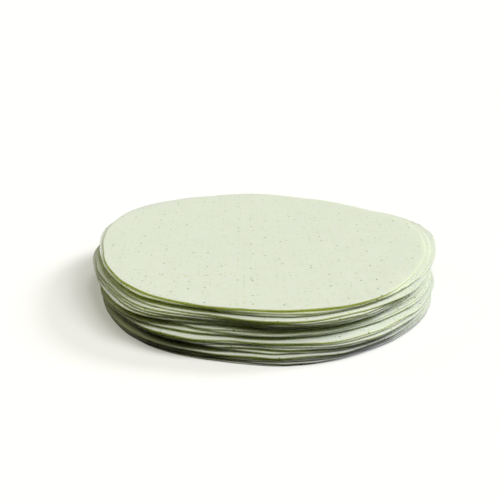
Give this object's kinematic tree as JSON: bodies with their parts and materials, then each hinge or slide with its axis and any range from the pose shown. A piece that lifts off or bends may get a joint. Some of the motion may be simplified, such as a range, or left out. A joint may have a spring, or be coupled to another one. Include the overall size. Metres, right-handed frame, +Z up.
{
  "type": "stack of raw papadums",
  "caption": "Loose stack of thin, round, uncooked papadum wafers with uneven edges, each lying a little off the ones below it.",
  "frame": {"origin": "middle of the stack's box, on the surface that it stands on", "axes": "+Z up through the stack; -Y is the side that faces the viewer, +X to the viewer's right"},
  "size_m": [0.1762, 0.1702, 0.0265],
  "materials": {
    "dough": "matte dried dough, pale with a green tinge, slightly translucent, finely speckled"
  },
  "bodies": {
    "root": {"papadum_01": "dough", "papadum_02": "dough", "papadum_03": "dough", "papadum_04": "dough", "papadum_05": "dough", "papadum_06": "dough", "papadum_07": "dough", "papadum_08": "dough", "papadum_09": "dough", "papadum_10": "dough", "papadum_11": "dough", "papadum_12": "dough", "papadum_13": "dough", "papadum_14": "dough", "papadum_15": "dough", "papadum_16": "dough", "papadum_17": "dough", "papadum_18": "dough", "papadum_19": "dough", "papadum_20": "dough", "papadum_21": "dough", "papadum_22": "dough"}
  },
  "joints": []
}
